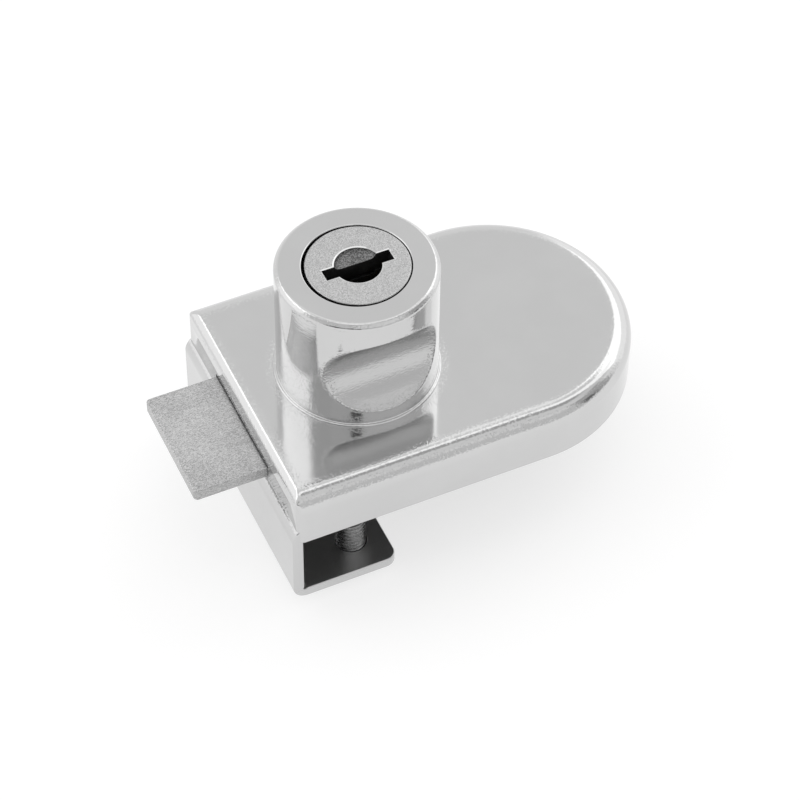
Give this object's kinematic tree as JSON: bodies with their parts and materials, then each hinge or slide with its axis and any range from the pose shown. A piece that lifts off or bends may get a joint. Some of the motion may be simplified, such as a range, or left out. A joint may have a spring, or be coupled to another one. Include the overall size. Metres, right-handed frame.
{
  "type": "glass cabinet door lock",
  "caption": "Key-operated lock for a glass cabinet door: D-shaped chrome casing with an upright key barrel, a sliding bolt and a clamp bracket round the glass edge.",
  "frame": {"origin": "where the axis of the key barrel meets the glass, on the underside of the glass pad", "axes": "+Z from the glass up the key barrel, -X the way the bolt comes out, +Y across the casing; drawn with the bolt thrown as in the picture"},
  "size_m": [0.064, 0.037, 0.0396],
  "materials": {
    "chrome_casting": "polished chrome on zinc die casting",
    "chrome_sheet": "polished chrome on bent steel sheet",
    "bolt_steel": "fine satin, blasted grain",
    "satin_zinc": "satin cast face with a fine grain",
    "spring_steel": "plain spring steel",
    "dark_steel": "blackened steel",
    "yellow_brass": "stamped, unpolished",
    "rubber_pad": "smooth black rubber sheet",
    "nylon": "natural moulded nylon"
  },
  "bodies": {
    "lock_body": {"casing": "chrome_casting", "clamp_bracket": "chrome_sheet", "glass_pad": "rubber_pad", "stop_pins": "dark_steel", "bolt_brake_spring": "spring_steel", "plate_screws": "dark_steel"},
    "sliding_bolt": {"bolt": "bolt_steel"},
    "key_plug": {"plug": "satin_zinc", "plug_retaining_clip": "spring_steel", "crank": "yellow_brass", "crank_pin": "dark_steel", "crank_screw": "dark_steel", "wafer_springs": "spring_steel"},
    "wafer_1": {"wafer_1": "yellow_brass"},
    "wafer_2": {"wafer_2": "yellow_brass"},
    "wafer_3": {"wafer_3": "yellow_brass"},
    "wafer_4": {"wafer_4": "yellow_brass"},
    "wafer_5": {"wafer_5": "yellow_brass"},
    "clamp_tip_near": {"clamp_tip_near": "nylon"},
    "clamp_tip_far": {"clamp_tip_far": "nylon"},
    "clamp_screw_near": {"clamp_screw_near": "dark_steel"},
    "clamp_screw_far": {"clamp_screw_far": "dark_steel"}
  },
  "joints": [
    {"name": "key_turn", "type": "hinge", "parent": "lock_body", "child": "key_plug", "pos_m": [0, 0, 0.02], "axis": [0, 0, 1], "range_deg": [-90, 0]},
    {"name": "bolt_slide", "type": "slide", "parent": "lock_body", "child": "sliding_bolt", "axis": [1, 0, 0], "range_m": [0, 0.01]},
    {"name": "wafer_1_slide", "type": "slide", "parent": "key_plug", "child": "wafer_1", "axis": [1, 0, 0], "range_m": [0, 0.00045], "stiffness_N_per_m": 100, "springref_m": 0.002, "deforming": ["wafer_springs"]},
    {"name": "wafer_2_slide", "type": "slide", "parent": "key_plug", "child": "wafer_2", "axis": [-1, 0, 0], "range_m": [0, 0.00045], "stiffness_N_per_m": 100, "springref_m": 0.002, "deforming": ["wafer_springs"]},
    {"name": "wafer_3_slide", "type": "slide", "parent": "key_plug", "child": "wafer_3", "axis": [1, 0, 0], "range_m": [0, 0.00045], "stiffness_N_per_m": 100, "springref_m": 0.002, "deforming": ["wafer_springs"]},
    {"name": "wafer_4_slide", "type": "slide", "parent": "key_plug", "child": "wafer_4", "axis": [-1, 0, 0], "range_m": [0, 0.00045], "stiffness_N_per_m": 100, "springref_m": 0.002, "deforming": ["wafer_springs"]},
    {"name": "wafer_5_slide", "type": "slide", "parent": "key_plug", "child": "wafer_5", "axis": [1, 0, 0], "range_m": [0, 0.00045], "stiffness_N_per_m": 100, "springref_m": 0.002, "deforming": ["wafer_springs"]},
    {"name": "clamp_advance_near", "type": "slide", "parent": "lock_body", "child": "clamp_tip_near", "axis": [0, 0, 1], "range_m": [-0.0055, 0.0025]},
    {"name": "clamp_screw_turn_near", "type": "hinge", "parent": "clamp_tip_near", "child": "clamp_screw_near", "pos_m": [-0.0068, -0.013, -0.008], "axis": [0, 0, 1], "range_deg": [-2829, 1286]},
    {"name": "clamp_advance_far", "type": "slide", "parent": "lock_body", "child": "clamp_tip_far", "axis": [0, 0, 1], "range_m": [-0.0055, 0.0025]},
    {"name": "clamp_screw_turn_far", "type": "hinge", "parent": "clamp_tip_far", "child": "clamp_screw_far", "pos_m": [-0.0068, 0.013, -0.008], "axis": [0, 0, 1], "range_deg": [-2829, 1286]}
  ],
  "couplings": [
    {"joint": "key_turn", "follows": "bolt_slide", "rad_per_m": -157.08},
    {"joint": "clamp_screw_turn_near", "follows": "clamp_advance_near", "rad_per_m": 8975.9},
    {"joint": "clamp_screw_turn_far", "follows": "clamp_advance_far", "rad_per_m": 8975.9}
  ]
}
